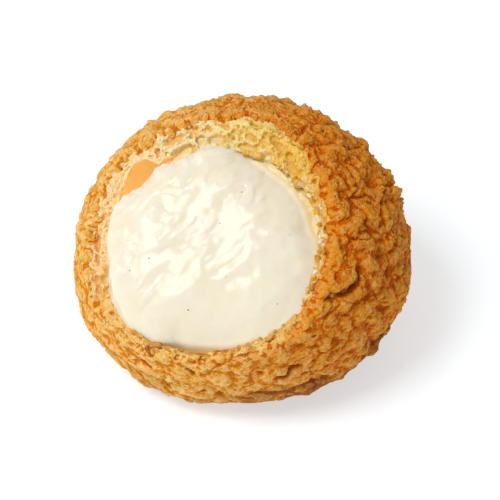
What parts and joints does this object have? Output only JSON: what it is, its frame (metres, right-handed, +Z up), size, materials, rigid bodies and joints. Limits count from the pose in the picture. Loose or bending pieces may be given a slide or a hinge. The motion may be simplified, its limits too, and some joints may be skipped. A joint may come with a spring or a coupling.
{
  "type": "cream puff",
  "caption": "Round cream puff with a crisp, cracked biscuit crust, sliced open high on one side so that its custard filling bulges out of the hollow choux shell.",
  "frame": {"origin": "middle of the flat underside, where the bun rests", "axes": "+Z up, -Y out of the bun's front, where the slice and the custard face, +X to the right as seen from the front"},
  "size_m": [0.0797, 0.0763, 0.057],
  "materials": {
    "baked_crust": "dry, grainy baked biscuit crust, golden to deep orange brown",
    "choux_crumb": "soft, porous inside of the choux, pale yellow to orange",
    "custard": "smooth, wet, glossy pale custard cream",
    "vanilla_seed": "dark brown seeds, dull"
  },
  "bodies": {
    "root": {"choux_shell": "baked_crust", "custard": "custard"}
  },
  "joints": []
}
